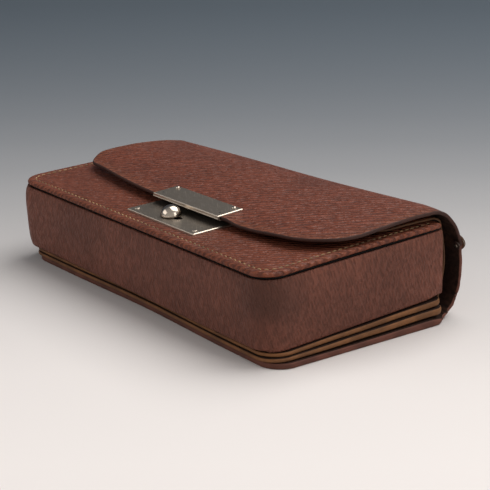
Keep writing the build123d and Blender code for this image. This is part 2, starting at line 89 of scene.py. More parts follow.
# The cover leather: its shift along X, half lengths, corner, thicknesses, and the radius of the arc that
# the flap's front edge follows
COVER_SHIFT = 2.0
BACK_HALF = 86.5
SIDE_TRIM = 0.5
FLAP_HALF = 83.75
BACK_CORNER = 9.0
COVER_THICKNESS = 1.4
BACK_THICKNESS = 2.2
FLAP_SWEEP = 418.0

# Middle lines as (Y, Z) points: the cover's two lengths in order from the back panel's front edge, and
# the inner flap from the pockets up
BACK_LINE = [
    (-41.5, 1.1), (0.0, 1.1), (41.0, 1.1), (45.6, 1.15), (49.4, 3.0), (52.6, 7.0), (54.5, 12.0),
    (55.1, 17.4), (54.75, 23.0), (53.6, 28.8),
]
FLAP_LINE = [
    (53.6, 28.8), (51.5, 34.7), (49.9, 38.4), (47.8, 41.6), (44.9, 43.9), (41.0, 45.2), (36.0, 45.15),
    (20.0, 43.8), (0.0, 42.2), (-22.3, 40.4),
]
INNER_LINE = [
    (45.6, 8.0), (47.0, 13.0), (48.2, 19.0), (48.3, 25.0), (47.4, 31.0), (46.0, 36.4), (45.1, 39.3),
    (42.8, 40.6), (38.0, 40.9), (26.0, 40.9), (12.0, 40.2),
]

# The camera's level direction, away from the viewer
AWAY = (-0.794, 0.607, 0)
# Painted light falloff: the paper's colour goes along it from warm white to blue grey, from its start in
# metres and with this reach
PAPER_NEAR = "e8e2df"
PAPER_FAR = "4d5760"
PAPER_START = -0.24
PAPER_END = 0.85
PAPER_REACH = 0.31

# Each light's name, size, watts, place, aim and colour
LIGHTS = (
    ("overhead_softbox", (1.3, 1.3), 20.0, (0.05, 0.62, 1.2), (0, 0, 0), (1.0, 0.985, 0.96)),
    ("side_reflector", (0.5, 0.8), 2.5, (1.15, 0.25, 0.5), (0, 0, 0.02), (1.0, 0.97, 0.94)),
    ("front_fill", (1.4, 0.8), 4.6, (-0.7, -1.15, 0.75), (0, 0, 0.02), (1.0, 0.97, 0.94)),
)


def to_linear(code):
    """The linear colour of an sRGB hex value."""
    parts = [int(code[i : i + 2], 16) / 255 for i in (0, 2, 4)]
    return tuple(p / 12.92 if p <= 0.04045 else ((p + 0.055) / 1.055) ** 2.4 for p in parts)


class BagSizes(bpy.types.PropertyGroup):
    """Sizes of the bag's leather and thread that a user would change, in millimetres."""

    stitch_pitch: bpy.props.FloatProperty(
        name="Stitch pitch", description="From one stitch to the next, mm", default=2.75, min=1.5)
    stitch_length: bpy.props.FloatProperty(
        name="Stitch length", description="Thread that shows, mm", default=1.95, min=0.8)
    thread_radius: bpy.props.FloatProperty(
        name="Thread radius", description="Half the thread's thickness, mm", default=0.27, min=0.1)
    stitch_inset: bpy.props.FloatProperty(
        name="Stitch inset", description="From the panel's edge to them, mm", default=3.7, min=2.0)
    groove_depth: bpy.props.FloatProperty(
        name="Groove depth", description="How deep the stitches pull in, mm", default=0.3, min=0.0)
    flap_sag: bpy.props.FloatProperty(
        name="Flap sag", description="How far its left end lies down, mm", default=4.4)
    case_sag: bpy.props.FloatProperty(
        name="Case sag", description="How far its left mouth corner has sunk, mm", default=1.2, min=0.0)
    wall_belly: bpy.props.FloatProperty(
        name="Wall belly", description="How far the walls bulge, mm", default=1.3, min=0.0)
    edge_round: bpy.props.FloatProperty(
        name="Edge round", description="Round of the cut leather's edges, mm", default=0.45, min=0.1)


class BagColours(bpy.types.PropertyGroup):
    """Colours of the bag's leather, thread and metal."""

    cover: bpy.props.FloatVectorProperty(
        name="Cover leather", description="Flap, back and front panel", subtype="COLOR",
        default=to_linear("6f3a29"))
    # Painted shade: the colour that the cover's creases are darkened towards
    cover_crease_shade: bpy.props.FloatVectorProperty(
        name="Cover creases", description="Colour down in the grain", subtype="COLOR",
        default=to_linear("3f221b"))
    cover_warm: bpy.props.FloatVectorProperty(
        name="Cover wear", description="Where the finish is rubbed", subtype="COLOR",
        default=to_linear("7f4c34"))
    wall: bpy.props.FloatVectorProperty(
        name="Wall leather", description="The compartment's walls", subtype="COLOR",
        default=to_linear("683d30"))
    # Painted shade in the walls' creases, and also the colour of the soil on the walls
    wall_crease_shade_and_dirt: bpy.props.FloatVectorProperty(
        name="Wall creases", description="Colour down in the walls' grain", subtype="COLOR",
        default=to_linear("38241d"))
    tan: bpy.props.FloatVectorProperty(
        name="Cut edge", description="Raw tan edge of the leather", subtype="COLOR",
        default=to_linear("7d5230"))
    # Also the base of the near-black leather that paints the shade on undersides and hidden faces
    lining: bpy.props.FloatVectorProperty(
        name="Lining", description="Dark inner side", subtype="COLOR",
        default=to_linear("2b1b15"))
    thread: bpy.props.FloatVectorProperty(
        name="Thread", description="Waxed linen thread", subtype="COLOR",
        default=to_linear("b38f64"))
    nickel: bpy.props.FloatVectorProperty(
        name="Nickel", description="Nickel plating", subtype="COLOR",
        default=to_linear("b9ad9f"))


# Surfaces as grids of points


# How many rows of points stand between the two faces of a sheet, round its cut edge
EDGE_ROWS = 5


def smooth_line(points, step=0.5):
    """Points about step apart along a smooth curve through the given (Y, Z) points.

    Each span is a cubic with the slopes of the neighbouring points, and the result is spaced evenly by
    its length.
    """
    p = np.array(points, float)
    t = np.concatenate([[0], np.cumsum(np.hypot(*np.diff(p, axis=0).T))])
    slope = np.gradient(p, t, axis=0)
    tt = np.linspace(0, t[-1], 40 * len(p))
    i = np.clip(np.searchsorted(t, tt, "right") - 1, 0, len(t) - 2)
    h = (t[i + 1] - t[i])[:, None]
    u = (tt - t[i])[:, None] / h
    curve = (
        (2 * u**3 - 3 * u**2 + 1) * p[i] + (u**3 - 2 * u**2 + u) * h * slope[i]
        + (3 * u**2 - 2 * u**3) * p[i + 1] + (u**3 - u**2) * h * slope[i + 1]
    )
    s = np.concatenate([[0], np.cumsum(np.hypot(*np.diff(curve, axis=0).T))])
    at = np.linspace(0, s[-1], max(3, int(round(s[-1] / step)) + 1))
    return np.stack([np.interp(at, s, curve[:, 0]), np.interp(at, s, curve[:, 1])], 1), at


def spread(low, high, step, near):
    """Values from low to high about step apart, with some more at the distances near from each end."""
    inner = np.linspace(low, high, max(3, int(round((high - low) / step)) + 1))
    ends = np.concatenate([low + np.array(near), high - np.array(near)])
    return np.unique(np.round(np.concatenate([inner, ends]), 4))


def on_line(line, at, s):
    """Y and Z at the distances s along a smooth line."""
    return np.interp(s, at, line[:, 0]), np.interp(s, at, line[:, 1])


def grid_normals(grid):
    """Unit normals of a grid surface: the cross product of its two slopes."""
    n = np.cross(np.gradient(grid, axis=0), np.gradient(grid, axis=1))
    return n / np.maximum(np.linalg.norm(n, axis=2, keepdims=True), 1e-12)


def border(m, n):
    """Indices round the border of an m by n grid, in order."""
    i = np.arange(m * n).reshape(m, n)
    return np.concatenate([i[0, :], i[1:, -1], i[-1, -2::-1], i[-2:0:-1, 0]])


def closed_sheet(middle, thickness, edge):
    """Closed leather round a middle surface.

    The two faces lie half the thickness to each side along the normals, and a half ellipse of the
    given edge depth joins them all round. Returns points, faces and each face's kind: 0 top, 1 under,
    2 edge.
    """
    m, n = middle.shape[:2]
    normal = grid_normals(middle)
    half = np.broadcast_to(np.asarray(thickness, float), (m, n))[..., None] / 2
    top = (middle + normal * half).reshape(-1, 3)
    under = (middle - normal * half).reshape(-1, 3)
    loop = border(m, n)
    at, up = middle.reshape(-1, 3)[loop], normal.reshape(-1, 3)[loop]
    reach = half.reshape(-1, 1)[loop]
    along = np.roll(at, -1, 0) - np.roll(at, 1, 0)
    out = np.cross(along, up)
    out /= np.maximum(np.linalg.norm(out, axis=1, keepdims=True), 1e-12)
    centre = middle.reshape(-1, 3).mean(0)
    if np.sum((at - centre) * out) < 0:
        out = -out
    turn = np.linspace(math.pi / 2, -math.pi / 2, EDGE_ROWS + 2)[1:-1]
    rows = [at + out * edge * math.cos(a) + up * reach * math.sin(a) for a in turn]
    points = np.concatenate([top, under] + rows)
    i = np.arange(m * n).reshape(m, n)
    quads = np.stack([i[:-1, :-1], i[1:, :-1], i[1:, 1:], i[:-1, 1:]], -1).reshape(-1, 4)
    below = quads[:, ::-1] + m * n
    count = len(loop)
    between = [2 * m * n + k * count + np.arange(count) for k in range(EDGE_ROWS)]
    starts = [loop] + between + [loop + m * n]
    rim = np.concatenate([
        np.stack([a, np.roll(a, -1), np.roll(b, -1), b], -1) for a, b in zip(starts[:-1], starts[1:])
    ])
    faces = np.concatenate([quads, below, rim])
    kinds = np.repeat([0, 1, 2], [len(quads), len(below), len(rim)])
    return points, faces, kinds


def loops_surface(loops, closed_ends=False):
    """Faces between rows of points that each go once round, and caps on the first and last row."""
    rows, count = loops.shape[:2]
    i = np.arange(rows * count).reshape(rows, count)
    j = np.roll(i, -1, 1)
    quads = np.stack([i[:-1], j[:-1], j[1:], i[1:]], -1).reshape(-1, 4).tolist()
    if closed_ends:
        quads += [i[0, ::-1].tolist(), i[-1].tolist()]
    return loops.reshape(-1, 3), quads


def round_profile(profile, centre, up, around):
    """A shape turned on a lathe: each (radius, height) of the profile goes once round the axis up."""
    x_axis = np.array([1.0, 0, 0])
    y_axis = np.cross(up, x_axis)
    turn = np.linspace(0, 2 * math.pi, around, endpoint=False)
    ring = np.cos(turn)[:, None] * x_axis + np.sin(turn)[:, None] * y_axis
    profile = np.array(profile, float)
    return centre + profile[:, None, :1] * ring[None] + profile[:, None, 1:] * up


def tube(path, radius, around):
    """A round thread or cord: a ring square to the path at each of its points."""
    along = np.gradient(path, axis=0)
    along /= np.linalg.norm(along, axis=1, keepdims=True)
    side = np.cross(along, [0, 0, 1.0])
    side /= np.maximum(np.linalg.norm(side, axis=1, keepdims=True), 1e-9)
    up = np.cross(side, along)
    turn = np.linspace(0, 2 * math.pi, around, endpoint=False)
    radius = np.broadcast_to(np.asarray(radius, float), (len(path),))[:, None, None]
    ring = np.cos(turn)[None, :, None] * side[:, None] + np.sin(turn)[None, :, None] * up[:, None]
    return path[:, None] + radius * ring


def joined(parts):
    """Several meshes, each given as points and faces, as one."""
    starts = np.cumsum([0] + [len(points) for points, faces in parts]).tolist()
    faces = [[i + start for i in face] for start, part in zip(starts, parts) for face in part[1]]
    return np.concatenate([points for points, faces in parts]), faces


def make_piece(name, points, faces, materials, kinds=None, attributes=None, weld=True):
    """A mesh object at the origin from points in mm, its faces turned outwards and smooth.

    attributes holds a value for each point under each name, and weld joins points that coincide.
    """
    mesh = bpy.data.meshes.new(name)
    faces = faces.tolist() if isinstance(faces, np.ndarray) else faces
    mesh.from_pydata((np.asarray(points) * MM).tolist(), [], faces)
    for material in materials:
        mesh.materials.append(material)
    if kinds is not None:
        mesh.polygons.foreach_set("material_index", np.asarray(kinds, np.int32))
    for key, values in (attributes or {}).items():
        layer = mesh.attributes.new(key, "FLOAT", "POINT")
        layer.data.foreach_set("value", np.asarray(values, np.float32))
    work = bmesh.new()
    work.from_mesh(mesh)
    if weld:
        bmesh.ops.remove_doubles(work, verts=work.verts, dist=2e-6)
    bmesh.ops.dissolve_degenerate(work, edges=work.edges, dist=1e-7)
    bmesh.ops.recalc_face_normals(work, faces=work.faces)
    for face in work.faces:
        face.smooth = True
    work.to_mesh(mesh)
    work.free()
    mesh.validate()
    piece = bpy.data.objects.new(name, mesh)
    bpy.context.scene.collection.objects.link(piece)
    return piece


def finish_piece(piece, body, slot, *nodes):
    """Lets the piece ride on its body and hides the CAD nodes it stands for; its slot is not used."""
    if body:
        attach(piece, body)
    if nodes:
        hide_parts(*nodes)
    return piece


def from_box(x, y, z):
    """Points of the tilted compartment's frame, in the bag's frame."""
    x, y, z = np.broadcast_arrays(*(np.asarray(v, float) for v in (x, y, z)))
    return np.stack([
        x, BOX_FRONT + y * math.cos(LIE) - z * math.sin(LIE),
        STACK_FRONT + y * math.sin(LIE) + z * math.cos(LIE),
    ], -1)


def u_path(half, front, mouth, corner, step=2.0):
    """The compartment's outline from its left mouth end round the front to its right mouth end.

    Straight side, quarter circle, straight front, quarter circle, straight side. Returns x, y and the
    outward direction of each point, so a point can be moved in or out.
    """
    side = np.arange(mouth, front + corner, -step)
    turn = np.linspace(math.pi, 1.5 * math.pi, 14)
    run = np.arange(-half + corner, 0, step)[1:]
    left = np.concatenate([
        np.stack([np.full_like(side, -half), side, np.full_like(side, -1), 0 * side], -1),
        np.stack([
            -half + corner + corner * np.cos(turn), front + corner + corner * np.sin(turn),
            np.cos(turn), np.sin(turn),
        ], -1),
        np.stack([run, np.full_like(run, front), 0 * run, np.full_like(run, -1)], -1),
    ])
    right = left[::-1].copy()
    right[:, 0] *= -1
    right[:, 2] *= -1
    return np.concatenate([left, right])


def box_loop(half, front, mouth, corner, mouth_corner):
    """A closed outline with round corners: always the same number of points on each side and corner."""
    sides, turns, runs = 26, 12, 52
    corner, mouth_corner = max(corner, 0.05), max(mouth_corner, 0.05)

    def arc(cx, cy, r, start):
        turn = np.linspace(start, start + math.pi / 2, turns)
        return np.stack([cx + r * np.cos(turn), cy + r * np.sin(turn)], -1)

    def line(a, b, n):
        t = np.linspace(0, 1, n + 2)[1:-1, None]
        return np.array(a) * (1 - t) + np.array(b) * t

    corners = [
        arc(-half + corner, front + corner, corner, math.pi),
        arc(half - corner, front + corner, corner, 1.5 * math.pi),
        arc(half - mouth_corner, mouth - mouth_corner, mouth_corner, 0),
        arc(-half + mouth_corner, mouth - mouth_corner, mouth_corner, 0.5 * math.pi),
    ]
    parts = []
    for k, n in enumerate((runs, sides, runs, sides)):
        parts += [corners[k], line(corners[k][-1], corners[(k + 1) % 4][0], n)]
    return np.concatenate(parts)


def corner_drop(x, half, corner):
    """How far a round corner stands back from a straight edge at x, measured from the middle."""
    past = np.clip(np.abs(x) - (half - corner), 0, corner)
    return corner - np.sqrt(np.maximum(corner**2 - past**2, 0))


def ease(low, high, value):
    """0 below low, 1 above high, and a smooth S between them: 3 t squared less 2 t cubed.

    Where the leather's lie is worked out below, low and high are the places in mm at which a change
    starts and ends.
    """
    t = np.clip((np.asarray(value, float) - low) / (high - low), 0, 1)
    return t * t * (3 - 2 * t)


def slump(points, sag):
    """Points of the case after its left mouth corner has sunk by sag mm.

    The left end stands out. The drop eases in from the lock to the left end and from the middle to
    the mouth, and fades evenly to nothing at the pockets.
    """
    left_out, pockets_top, rise = 0.6, 8.0, 30.0
    x, y, z = np.moveaxis(points, -1, 0)
    x = x - left_out * ease(0, 80, -x)
    low = sag * ease(8, 70, -x) * ease(8, 43, y) * np.clip((z - pockets_top) / rise, 0, 1)
    return np.stack([x, y, z - low], -1)


def settle(x, y, z, sag):
    """The cover leather's even line (x, y, z) as it lies on this worn bag.

    The crest over the mouth drops towards the left end by sag mm, and the drop fades forwards to the
    middle of the flap and down the spine. The right edge curls down a little, the spine bulges there,
    and the flap's front edge droops at its left corner and beside the hasp. The flap's low swell at the
    left and the spine's bulge are bell curves of the distance from their middles.
    """
    crest_drop, curl, droop, swell, bulge = 0.4, 0.4, 1.1, 0.5, 1.0
    swell_at, swell_width, bulge_at, bulge_width = 1, 8, 31, 7
    x, y, z = np.broadcast_arrays(x, y, z)
    on_flap = z > 35
    across = np.clip((80.6 - x) / 162, 0, 1)
    back = np.clip((y - 11) / 31, 0, 1) ** 1.5
    down = (crest_drop + sag * across**0.75) * ease(31, 43, z) * back
    down = down + (curl + 0.5 * ease(22, 40, y)) * ease(74, 86, x) * ease(36, 42, z)
    down = down + droop * ease(58, 80, -x) * ease(3, 12, -y) * on_flap
    down = down + droop * ease(34, 43, x) * (1 - ease(47, 68, x)) * ease(8, 20, -y) * on_flap
    lift = swell * ease(30, 75, -x) * np.exp(-(((y - swell_at) / swell_width) ** 2)) * on_flap
    out = bulge * ease(40, 85, x) * np.exp(-(((z - bulge_at) / bulge_width) ** 2)) * (y > 45)
    return x, y + out, z - down + lift


def ripple(x, y, scale, seed):
    """A gentle unevenness between -1 and 1: three crossed sine waves of unlike lengths."""
    a, b, c = np.random.default_rng(seed).uniform(0, 2 * math.pi, 3)
    return (
        np.sin(x / scale + a) * np.cos(y / (1.3 * scale) + b)
        + 0.5 * np.sin((x + 1.7 * y) / (0.6 * scale) + c)
    ) / 1.5


# Materials


def wire(tree, node, inputs):
    """Sets each input of a node to its value, or links it from its socket."""
    for key, value in inputs.items():
        if isinstance(value, bpy.types.NodeSocket):
            tree.links.new(value, node.inputs[key])
        else:
            node.inputs[key].default_value = value


def add(tree, kind, inputs=None, out=None, stops=(), **settings):
    """Adds a shader node with its settings and links.

    An input is a value or a socket to link from, stops are the (place, colour) pairs of a colour ramp,
    and out picks the socket that is given back in place of the node.
    """
    node = tree.nodes.new("ShaderNode" + kind)
    for key, value in settings.items():
        setattr(node, key, value)
    wire(tree, node, inputs or {})
    for _ in stops[2:]:
        node.color_ramp.elements.new(0.5)
    for k, (place, colour) in enumerate(stops):
        node.color_ramp.elements[k].position = place
        node.color_ramp.elements[k].color = colour
    return node if out is None else node.outputs[out]


def new_material(name):
    """An empty node material, its tree and its shader."""
    material = bpy.data.materials.new(name)
    material.use_nodes = True
    tree = material.node_tree
    tree.nodes.clear()
    shader = add(tree, "BsdfPrincipled")
    add(tree, "OutputMaterial", {"Surface": shader.outputs["BSDF"]})
    return material, tree, shader


def rgba(colour, share=1.0):
    """A colour times a share, with full opacity."""
    return (*(min(1.0, share * v) for v in colour[:3]), 1.0)


def grain_space(tree, turn, lengths):
    """Object coordinates, and the same turned about Z and counted in grains of the given mm."""
    place = add(tree, "TexCoord", out="Object")
    turned = add(tree, "Mapping", {"Vector": place, "Rotation": (0, 0, math.radians(turn))}, out=0)
    counts = tuple(1 / (v * MM) for v in lengths)
    return place, add(tree, "Mapping", {"Vector": turned, "Scale": counts}, out=0)


BLACK, WHITE = (0, 0, 0, 1), (1, 1, 1, 1)


def leather(
    name, colour, dark, warm, grain, turn, lift, roughness, wear=0.8, depth=0.78, bands="Y", rolled=0.54,
):
    """Vegetable-tanned calf with a boarded grain: low soft ridges between fine creases.

    Boarding rolls the skin on itself, so the ridges run across the roll. The creases between them are
    painted dark as shade, while the high points are polished by the hand. grain is the ridges' size in mm,
    bands their direction, lift their height in mm, and rolled the share of the relief that they take from
    the loose folds. wear is how far rubbed places turn warm, and depth how dark the painted crease shade
    is.
    """
    material, tree, shader = new_material(name)
    place, grains = grain_space(tree, turn, grain)
    bend = add(tree, "TexNoise", {"Vector": grains, "Scale": 0.5, "Detail": 2.0}, "Color")
    bent = add(tree, "VectorMath", {0: grains, 1: bend}, 0, operation="ADD")
    crease = add(tree, "TexVoronoi", {"Vector": bent, "Scale": 0.6}, "Distance", feature="DISTANCE_TO_EDGE")
    loose = {"Vector": grains, "Scale": 1.0, "Detail": 2.5, "Roughness": 0.55, "Distortion": 0.5}
    fold = add(tree, "TexNoise", loose, "Fac")
    pore = add(tree, "TexNoise", {"Vector": place, "Scale": 1500.0, "Detail": 3.0}, "Fac")
    soft = {"interpolation_type": "SMOOTHSTEP"}
    valley = add(tree, "MapRange", {"Value": crease, "From Min": 0.0, "From Max": 0.3}, 0, **soft)
    ridge = add(tree, "MapRange", {"Value": fold, "From Min": 0.38, "From Max": 0.62}, 0, **soft)
    # A wave repeats every 2 pi / 20 of its scaled coordinate, or 2 pi / 10 along the diagonal
    level = bands == "Y"
    wave = {"Vector": grains, "Scale": 0.314 if level else 0.628, "Distortion": 4.0, "Detail": 2.0}
    wave["Detail Scale"] = 2.4 if level else 1.2
    roll = add(tree, "TexWave", wave, "Fac", bands_direction=bands)
    height = 0.0
    for relief, share in ((valley, 0.15), (ridge, 0.75 - rolled), (roll, rolled), (pore, 0.2)):
        height = add(tree, "Math", {0: relief, 1: share, 2: height}, 0, operation="MULTIPLY_ADD")

    blotch = add(tree, "TexNoise", {"Vector": place, "Scale": 36.0, "Detail": 3.0}, "Fac")
    patch = add(tree, "MapRange", {"Value": blotch, "From Min": 0.36, "From Max": 0.68}, 0, **soft)
    worn = add(tree, "Attribute", out="Fac", attribute_name="wear")
    soiled = add(tree, "Attribute", out="Fac", attribute_name="soil")
    uneven = {0: patch, 6: rgba(colour, 1.24), 7: rgba(colour, 0.94)}
    shade = add(tree, "Mix", uneven, 2, data_type="RGBA")
    rub = add(tree, "Math", {0: worn, 1: wear}, 0, operation="MULTIPLY")
    rub = add(tree, "Math", {0: rub, 1: height}, 0, operation="MULTIPLY", use_clamp=True)
    shade = add(tree, "Mix", {0: rub, 6: shade, 7: rgba(warm)}, 2, data_type="RGBA")
    # Painted shade: where the relief is low, in the creases, the colour is mixed towards dark by up to
    # depth
    crease_shade_range = {"Value": height, "From Min": 0.1, "From Max": 0.75, "To Min": depth, "To Max": 0.0}
    deep = add(tree, "MapRange", crease_shade_range, 0)
    shade = add(tree, "Mix", {0: deep, 6: shade, 7: rgba(dark)}, 2, data_type="RGBA")
    grime = add(tree, "Math", {0: soiled, 1: fold}, 0, operation="MULTIPLY")
    grime = add(tree, "Math", {0: grime, 1: 1.7}, 0, operation="MULTIPLY", use_clamp=True)
    shade = add(tree, "Mix", {0: grime, 6: shade, 7: rgba(dark, 0.7)}, 2, data_type="RGBA")

    rubbed = {"Value": height, "From Min": 0.2, "From Max": 0.9}
    rubbed.update({"To Min": roughness + 0.12, "To Max": roughness - 0.06})
    shine = add(tree, "MapRange", rubbed, 0)
    bump = add(tree, "Bump", {"Height": height, "Strength": 0.9, "Distance": lift * MM}, "Normal")
    wire(tree, shader, {
        "Base Color": shade, "Roughness": shine, "Normal": bump, "IOR": 1.46, "Specular IOR Level": 0.24,
    })
    return material


def cut_edge(name, colour):
    """Cut leather edge: packed fibres in thin layers along the sheet, burnished but never closed."""
    material, tree, shader = new_material(name)
    place, layers = grain_space(tree, 0, (9.0, 9.0, 0.4))
    fibre = add(tree, "TexNoise", {"Vector": layers, "Scale": 1.0, "Detail": 4.0}, "Fac")
    spots = add(tree, "TexNoise", {"Vector": place, "Scale": 120.0, "Detail": 3.0}, "Fac")
    half = (0.55, 0.55, 0.55, 1)
    stain = add(tree, "ValToRGB", {"Fac": spots}, "Color", ((0.4, half), (0.58, BLACK)))
    shade = add(tree, "Mix", {0: fibre, 6: rgba(colour, 0.66), 7: rgba(colour, 1.2)}, 2, data_type="RGBA")
    shade = add(tree, "Mix", {0: stain, 6: shade, 7: rgba(colour, 0.4)}, 2, data_type="RGBA")
    bump = add(tree, "Bump", {"Height": fibre, "Strength": 0.6, "Distance": 0.12 * MM}, "Normal")
    wire(tree, shader, {"Base Color": shade, "Normal": bump, "Roughness": 0.68, "Specular IOR Level": 0.3})
    return material


def lining_cloth(name, colour, pitch=0.7):
    """Woven cotton lining: crossed waves for warp and weft, and no gloss.

    The threads are drawn 0.7 mm apart, coarser than real cotton, so that they show.
    """
    material, tree, shader = new_material(name)
    place = add(tree, "TexCoord", out="Object")
    # A wave repeats every 2 pi / 20 of its scaled coordinate
    wave = {"Vector": place, "Scale": 2 * math.pi / 20 / (pitch * MM), "Distortion": 0.3}
    warp, weft, rise = (add(tree, "TexWave", wave, "Fac", bands_direction=axis) for axis in "XYZ")
    cross = add(tree, "Math", {0: warp, 1: weft}, 0, operation="MULTIPLY")
    weave = add(tree, "Math", {0: cross, 1: rise}, 0, operation="ADD")
    shade = add(tree, "Mix", {0: weave, 6: rgba(colour, 0.7), 7: rgba(colour, 1.3)}, 2, data_type="RGBA")
    bump = add(tree, "Bump", {"Height": weave, "Strength": 0.5, "Distance": 0.08 * MM}, "Normal")
    wire(tree, shader, {"Base Color": shade, "Normal": bump, "Roughness": 0.9})
    return material


def waxed_thread(name, colour):
    """Waxed linen thread: two plies with about one turn a millimetre, soiled in places."""
    material, tree, shader = new_material(name)
    place, twist = grain_space(tree, 40, (0.5, 1.6, 0.5))
    ply = add(tree, "TexNoise", {"Vector": twist, "Scale": 1.0, "Detail": 2.0}, "Fac")
    soil = add(tree, "TexNoise", {"Vector": place, "Scale": 60.0, "Detail": 2.0}, "Fac")
    dirt = add(tree, "ValToRGB", {"Fac": soil}, "Color", ((0.4, BLACK), (0.62, WHITE)))
    shade = add(tree, "Mix", {0: ply, 6: rgba(colour, 0.6), 7: rgba(colour, 1.15)}, 2, data_type="RGBA")
    shade = add(tree, "Mix", {0: dirt, 6: shade, 7: rgba(colour, 0.4)}, 2, data_type="RGBA")
    bump = add(tree, "Bump", {"Height": ply, "Strength": 0.5, "Distance": 0.08 * MM}, "Normal")
    wire(tree, shader, {"Base Color": shade, "Normal": bump, "Roughness": 0.6})
    return material


def plated(name, colour, roughness, tarnish, scratch, up=None):
    """Nickel plating on pressed brass: fine rolling lines, faint tarnish clouds and hair scratches.

    Where up is given, faces that look that way are the dull satin of handled plating, painted darker as
    shade, while bevels and edges are painted brighter as highlight, with a roughness of 0.36.
    """
    material, tree, shader = new_material(name)
    place, rolled = grain_space(tree, 2, (26.0, 0.32, 3.0))
    hairs = grain_space(tree, 33, (7.0, 0.22, 1.0))[1]
    lines = add(tree, "TexNoise", {"Vector": rolled, "Scale": 1.0, "Detail": 3.0}, "Fac")
    cloud = add(tree, "TexNoise", {"Vector": place, "Scale": 190.0, "Detail": 4.0}, "Fac")
    hair = add(tree, "TexNoise", {"Vector": hairs, "Scale": 1.0, "Detail": 1.0}, "Fac")
    cut = add(tree, "ValToRGB", {"Fac": hair}, "Color", ((0.63, BLACK), (0.69, WHITE)))
    dull = add(tree, "ValToRGB", {"Fac": cloud}, "Color", ((0.35, BLACK), (0.75, WHITE)))
    # Painted shade: faces that look up are darkened to 0.56 of the colour
    face = colour if up is None else [0.56 * v for v in colour]
    cloudy = add(tree, "Math", {0: dull, 1: tarnish}, 0, operation="MULTIPLY")
    shade = add(tree, "Mix", {0: cloudy, 6: rgba(face), 7: rgba(face, 0.5)}, 2, data_type="RGBA")
    worn = {"Value": cloud, "To Min": roughness - 0.05, "To Max": roughness + 0.12}
    rough = add(tree, "MapRange", worn, 0)
    if up is not None:
        normal = add(tree, "TexCoord", out="Normal")
        facing = add(tree, "VectorMath", {0: normal, 1: up}, "Value", operation="DOT_PRODUCT")
        near = {"Value": facing, "From Min": 0.93, "From Max": 0.99}
        level = add(tree, "MapRange", near, 0, interpolation_type="SMOOTHSTEP")
        # Painted highlight: bevels and edges get 1.3 times the colour
        shade = add(tree, "Mix", {0: level, 6: rgba(colour, 1.3), 7: shade}, 2, data_type="RGBA")
        rough = add(tree, "Mix", {0: level, 2: 0.36, 3: rough}, 0, data_type="FLOAT")
    scored = add(tree, "Math", {0: cut, 1: scratch}, 0, operation="MULTIPLY")
    shade = add(tree, "Mix", {0: scored, 6: shade, 7: rgba(colour, 1.4)}, 2, data_type="RGBA")
    relief = add(tree, "Math", {0: cut, 1: 0.35, 2: lines}, 0, operation="MULTIPLY_ADD")
    bump = add(tree, "Bump", {"Height": relief, "Strength": 0.16, "Distance": 0.05 * MM}, "Normal")
    wire(tree, shader, {"Base Color": shade, "Roughness": rough, "Normal": bump, "Metallic": 1.0})
    return material


STOCK = {}


def stock(key):
    """The bag's materials, made once from the colours in the panel."""
    if not STOCK:
        c = bpy.context.scene.bag_colours
        boarded = (c.cover, c.cover_crease_shade, c.cover_warm)
        across_view = -52.6
        plate_up = (0.0, -math.sin(LIE), math.cos(LIE))
        STOCK.update(
            cover=leather(
                "boarded_calf_brown", *boarded, grain=(3.6, 2.7, 2.6), turn=across_view, lift=1.5,
                roughness=0.42),
            panel=leather(
                "boarded_calf_fine", *boarded, grain=(2.9, 2.3, 2.2), turn=across_view, lift=1.1,
                roughness=0.42),
            wall=leather(
                "wrinkled_calf_dark", c.wall, c.wall_crease_shade_and_dirt, c.cover_warm, grain=(1.5, 1.5, 3.2), turn=0,
                lift=0.6, roughness=0.5, wear=0.3, depth=0.5, bands="DIAGONAL", rolled=0.22),
            # Near-black leather for the cover's underside, the pocket leaves' faces, the inner flap's
            # underside and the strap burrs: painted shade on these hidden faces
            inside=leather(
                "dark_underside_painted_shade", c.lining, [0.5 * v for v in c.lining], c.tan, grain=(1.6, 1.6, 1.6),
                turn=0, lift=0.1, roughness=0.75, wear=0.1),
            # Near black: the piping's own colour, and also painted shade for the sunk seam under the rim
            piping=leather(
                "black_piping", to_linear("0b0a09"), to_linear("050505"), c.lining, grain=(1, 1, 1),
                turn=0, lift=0.05, roughness=0.7, wear=0.0),
            edge=cut_edge("burnished_cut_edge", c.tan),
            edge_dark=cut_edge("stained_cut_edge", [0.45 * v for v in c.tan]),
            edge_brown=cut_edge("stained_brown_edge", c.wall),
            # The flap's cut edge: dyed brown and darkened to 0.35 of the wall colour, painting the deep
            # shade along and under the flap's front edge
            edge_ink=cut_edge("dyed_edge_painted_shade", [0.35 * v for v in c.wall]),
            lining=lining_cloth("cotton_lining", c.lining),
            thread=waxed_thread("waxed_linen_thread", c.thread),
            satin=plated(
                "satin_nickel_plate", c.nickel, roughness=0.42, tarnish=0.5, scratch=0.35, up=plate_up),
            bright=plated(
                "polished_nickel", [1.25 * v for v in c.nickel], roughness=0.14, tarnish=0.25, scratch=0.1),
            steel=plated(
                "pressed_spring_steel", [0.6 * v for v in c.nickel], roughness=0.4, tarnish=0.4,
                scratch=0.2),
        )
    return STOCK[key]


def dress(node, key):
    """Gives a CAD node its material."""
    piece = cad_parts[node]
    piece.data.materials.clear()
    piece.data.materials.append(stock(key))


# Pieces


